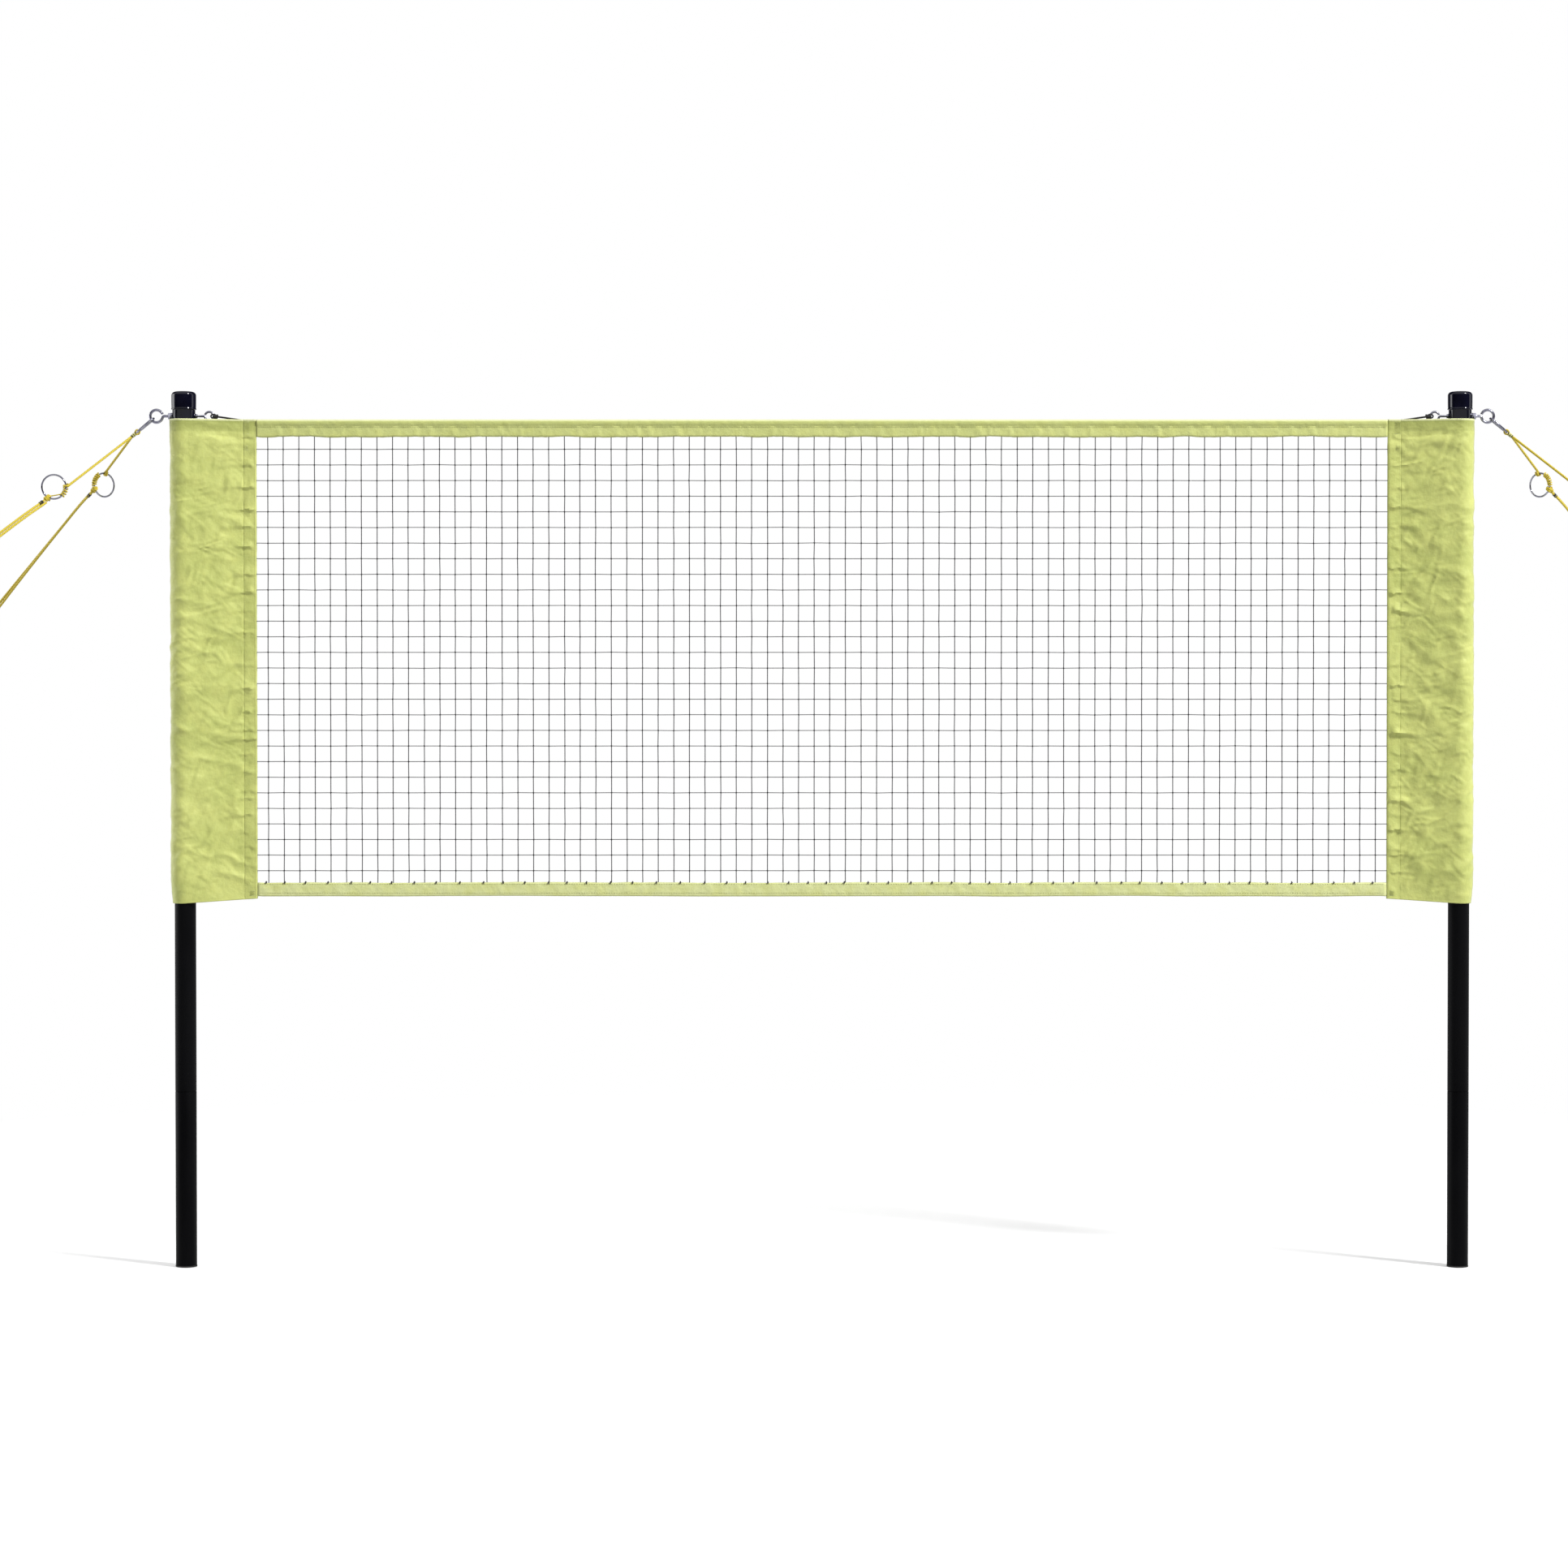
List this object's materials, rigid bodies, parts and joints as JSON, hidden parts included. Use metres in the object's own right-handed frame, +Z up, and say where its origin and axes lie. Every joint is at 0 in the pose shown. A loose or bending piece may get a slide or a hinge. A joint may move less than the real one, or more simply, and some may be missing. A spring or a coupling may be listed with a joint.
{
  "type": "sports net on poles",
  "caption": "Free-standing net with fabric sleeves, tapes and a carrying cord between two sectional tube poles, with eye bolts, snap hooks and taut guy lines with tension rings.",
  "frame": {"origin": "on the floor, midway between the two poles", "axes": "+X along the net, to the right in the picture; +Y away from the camera, through the net; +Z up"},
  "size_m": [3.1332, 0.497, 1.5806],
  "materials": {
    "black_powder_coat": "matt black powder coat",
    "cap_plastic": "glossy black moulded plastic",
    "foot_rubber": "black rubber",
    "zinc_steel": "bright zinc plated",
    "ring_chrome": "polished",
    "lime_cloth": "lime green woven polyester, hemmed",
    "net_twine": "dark grey knotted twine",
    "black_cord": "black braided cord",
    "yellow_rope": "yellow braided rope"
  },
  "bodies": {
    "net_frame": {"bottom_tape": "lime_cloth", "left_back_guy_rope": "yellow_rope", "left_cord_knot": "black_cord", "left_front_guy_rope": "yellow_rope", "left_gate_pin": "zinc_steel", "left_inner_eye_bolt": "zinc_steel", "left_inner_nut": "zinc_steel", "left_inner_washer": "zinc_steel", "left_outer_eye_bolt": "zinc_steel", "left_outer_nut": "zinc_steel", "left_outer_washer": "zinc_steel", "left_pole_cap": "cap_plastic", "left_sleeve": "lime_cloth", "left_snap_hook": "zinc_steel", "left_upper_pole": "black_powder_coat", "left_whipping": "yellow_rope", "net_rungs": "net_twine", "net_uprights": "net_twine", "right_back_guy_rope": "yellow_rope", "right_cord_knot": "black_cord", "right_front_guy_rope": "yellow_rope", "right_gate_pin": "zinc_steel", "right_inner_eye_bolt": "zinc_steel", "right_inner_nut": "zinc_steel", "right_inner_washer": "zinc_steel", "right_outer_eye_bolt": "zinc_steel", "right_outer_nut": "zinc_steel", "right_outer_washer": "zinc_steel", "right_pole_cap": "cap_plastic", "right_sleeve": "lime_cloth", "right_snap_hook": "zinc_steel", "right_upper_pole": "black_powder_coat", "right_whipping": "yellow_rope", "top_cord": "black_cord", "top_tape": "lime_cloth"},
    "left_back_tensioner": {"left_back_guy_return": "yellow_rope", "left_back_ring_knot": "yellow_rope", "left_back_tension_ring": "ring_chrome"},
    "left_lower_section": {"left_foot_plug": "foot_rubber", "left_lower_pole": "black_powder_coat"},
    "left_front_tensioner": {"left_front_guy_return": "yellow_rope", "left_front_ring_knot": "yellow_rope", "left_front_tension_ring": "ring_chrome"},
    "left_gate": {"left_snap_gate": "zinc_steel"},
    "right_back_tensioner": {"right_back_guy_return": "yellow_rope", "right_back_ring_knot": "yellow_rope", "right_back_tension_ring": "ring_chrome"},
    "right_lower_section": {"right_foot_plug": "foot_rubber", "right_lower_pole": "black_powder_coat"},
    "right_front_tensioner": {"right_front_guy_return": "yellow_rope", "right_front_ring_knot": "yellow_rope", "right_front_tension_ring": "ring_chrome"},
    "right_gate": {"right_snap_gate": "zinc_steel"}
  },
  "joints": [
    {"name": "left_section_joint", "type": "slide", "parent": "left_lower_section", "child": "net_frame", "axis": [0, 0, 1], "range_m": [0, 0.09]},
    {"name": "right_section_joint", "type": "slide", "parent": "net_frame", "child": "right_lower_section", "axis": [0, 0, -1], "range_m": [0, 0.09]},
    {"name": "left_gate_hinge", "type": "hinge", "parent": "net_frame", "child": "left_gate", "pos_m": [-1.22802, -0.00521, 1.51222], "axis": [-0.6388, 0, 0.7694], "range_deg": [0, 25], "stiffness_Nm_per_rad": 0.02, "springref_deg": -17.19},
    {"name": "left_front_tension_slide", "type": "slide", "parent": "net_frame", "child": "left_front_tensioner", "axis": [0.6132, 0.5439, 0.5728], "range_m": [0, 0.05]},
    {"name": "left_back_tension_slide", "type": "slide", "parent": "net_frame", "child": "left_back_tensioner", "axis": [0.608, -0.5393, 0.5827], "range_m": [0, 0.05]},
    {"name": "right_gate_hinge", "type": "hinge", "parent": "net_frame", "child": "right_gate", "pos_m": [1.22802, -0.00521, 1.51222], "axis": [-0.6388, 0, -0.7694], "range_deg": [0, 25], "stiffness_Nm_per_rad": 0.02, "springref_deg": -17.19},
    {"name": "right_front_tension_slide", "type": "slide", "parent": "net_frame", "child": "right_front_tensioner", "axis": [-0.6132, 0.5439, 0.5728], "range_m": [0, 0.05]},
    {"name": "right_back_tension_slide", "type": "slide", "parent": "net_frame", "child": "right_back_tensioner", "axis": [-0.608, -0.5393, 0.5827], "range_m": [0, 0.05]}
  ],
  "couplings": [
    {"joint": "right_section_joint", "follows": "left_section_joint", "ratio": 1}
  ]
}
